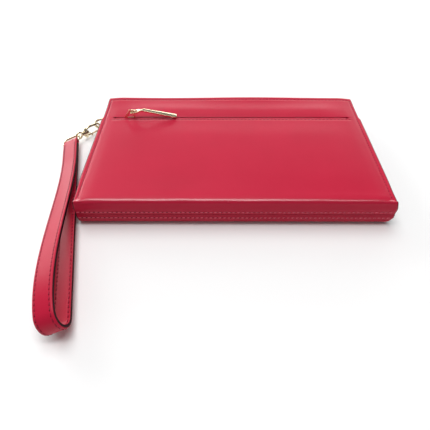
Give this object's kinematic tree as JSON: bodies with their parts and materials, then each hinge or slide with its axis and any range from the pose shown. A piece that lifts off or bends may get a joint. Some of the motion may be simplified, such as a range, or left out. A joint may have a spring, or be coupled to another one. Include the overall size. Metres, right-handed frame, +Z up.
{
  "type": "wristlet wallet",
  "caption": "Bifold leather wallet with an outside zip pocket, card slots, a magnetic snap, and a stitched wrist strap on a swivel lobster clasp and ring.",
  "frame": {"origin": "centre of the wallet's back face, on which the closed wallet rests", "axes": "+X along the spine, away from the strap; +Y from the spine to the opening edge; +Z up through the closed wallet"},
  "size_m": [0.2202, 0.1945, 0.0238],
  "materials": {
    "leather": "smooth, soft satin gloss",
    "inner_leather": "smooth, soft satin gloss",
    "lining": "plain weave, matt",
    "board": "uncoated board",
    "zip_tape": "herringbone tape, matt",
    "zip_coil": "nylon coil, satin",
    "metal": "polished, light gold plate"
  },
  "bodies": {
    "back_half": {"back_leather": "leather", "back_stiffener": "board", "back_lining": "lining", "back_card_leaf_left_1": "inner_leather", "back_card_leaf_left_2": "inner_leather", "back_card_leaf_left_3": "inner_leather", "back_card_leaf_right_1": "inner_leather", "back_card_leaf_right_2": "inner_leather", "back_card_leaf_right_3": "inner_leather", "bill_pocket_panel": "inner_leather", "snap_socket": "metal", "side_tab": "leather"},
    "spine": {"spine_lower_leather": "leather", "spine_upper_leather": "leather", "spine_lining": "lining"},
    "front_half": {"front_leather": "leather", "pocket_lining_outer": "lining", "pocket_lining_inner": "lining", "front_stiffener": "board", "front_lining": "inner_leather", "front_card_leaf_left_1": "inner_leather", "front_card_leaf_left_2": "inner_leather", "front_card_leaf_left_3": "inner_leather", "front_card_leaf_right_1": "inner_leather", "front_card_leaf_right_2": "inner_leather", "front_card_leaf_right_3": "inner_leather", "zip_tape_upper": "zip_tape", "zip_teeth_upper": "zip_coil", "zip_tape_lower": "zip_tape", "zip_teeth_lower": "zip_coil", "zip_stop_left": "metal", "zip_stop_right": "metal", "snap_case": "metal", "snap_stud": "metal"},
    "zip_slider": {"zip_slider_body": "metal"},
    "zip_pull": {"zip_pull": "metal"},
    "side_ring": {"side_ring": "metal"},
    "clasp": {"clasp_hook": "metal", "gate_pin": "metal", "gate_spring": "metal"},
    "clasp_gate": {"clasp_gate": "metal"},
    "swivel": {"swivel_eye": "metal"},
    "strap_ring": {"strap_ring": "metal"},
    "strap": {"strap_outer_leather": "leather", "strap_inner_leather": "leather"}
  },
  "joints": [
    {"name": "spine_fold", "type": "hinge", "parent": "back_half", "child": "spine", "pos_m": [0, -0.0574, 0.0011], "axis": [1, 0, 0], "range_deg": [0, 38]},
    {"name": "cover_fold", "type": "hinge", "parent": "spine", "child": "front_half", "pos_m": [0, -0.0574, 0.0179], "axis": [1, 0, 0], "range_deg": [0, 76]},
    {"name": "zip_slide", "type": "slide", "parent": "front_half", "child": "zip_slider", "axis": [1, 0, 0], "range_m": [-0.0035, 0.15]},
    {"name": "pull_flip", "type": "hinge", "parent": "zip_slider", "child": "zip_pull", "pos_m": [-0.0727, 0.0311, 0.02155], "axis": [0, -0.9998, 0.0209], "range_deg": [0, 180]},
    {"name": "ring_swing", "type": "hinge", "parent": "back_half", "child": "side_ring", "pos_m": [-0.0915, 0.041, 0.0056], "axis": [0, 1, 0], "range_deg": [-20, 20]},
    {"name": "clasp_swing", "type": "hinge", "parent": "side_ring", "child": "clasp", "pos_m": [-0.10325, 0.03701, 0.0056], "axis": [0.0537, 0.0687, 0.9962], "range_deg": [-35, 0]},
    {"name": "gate_hinge", "type": "hinge", "parent": "clasp", "child": "clasp_gate", "pos_m": [-0.10948, 0.02904, 0.00232], "axis": [0.788, -0.6157, 0], "range_deg": [0, 12], "stiffness_Nm_per_rad": 0.002, "springref_deg": -11.46, "deforming": ["gate_spring"]},
    {"name": "swivel_spin", "type": "hinge", "parent": "clasp", "child": "swivel", "pos_m": [-0.11069, 0.02749, 0.0052], "axis": [0.6133, 0.785, -0.0872], "continuous": true},
    {"name": "strap_ring_tilt", "type": "hinge", "parent": "swivel", "child": "strap_ring", "pos_m": [-0.11352, 0.02387, 0.00591], "axis": [0.788, -0.6157, 0], "range_deg": [-10, 20]},
    {"name": "strap_swing", "type": "hinge", "parent": "strap_ring", "child": "strap", "pos_m": [-0.11789, 0.01846, 0.00399], "axis": [-0.922, -0.196, -0.3338], "range_deg": [0, 60]}
  ],
  "couplings": [
    {"joint": "cover_fold", "follows": "spine_fold", "ratio": 2}
  ]
}
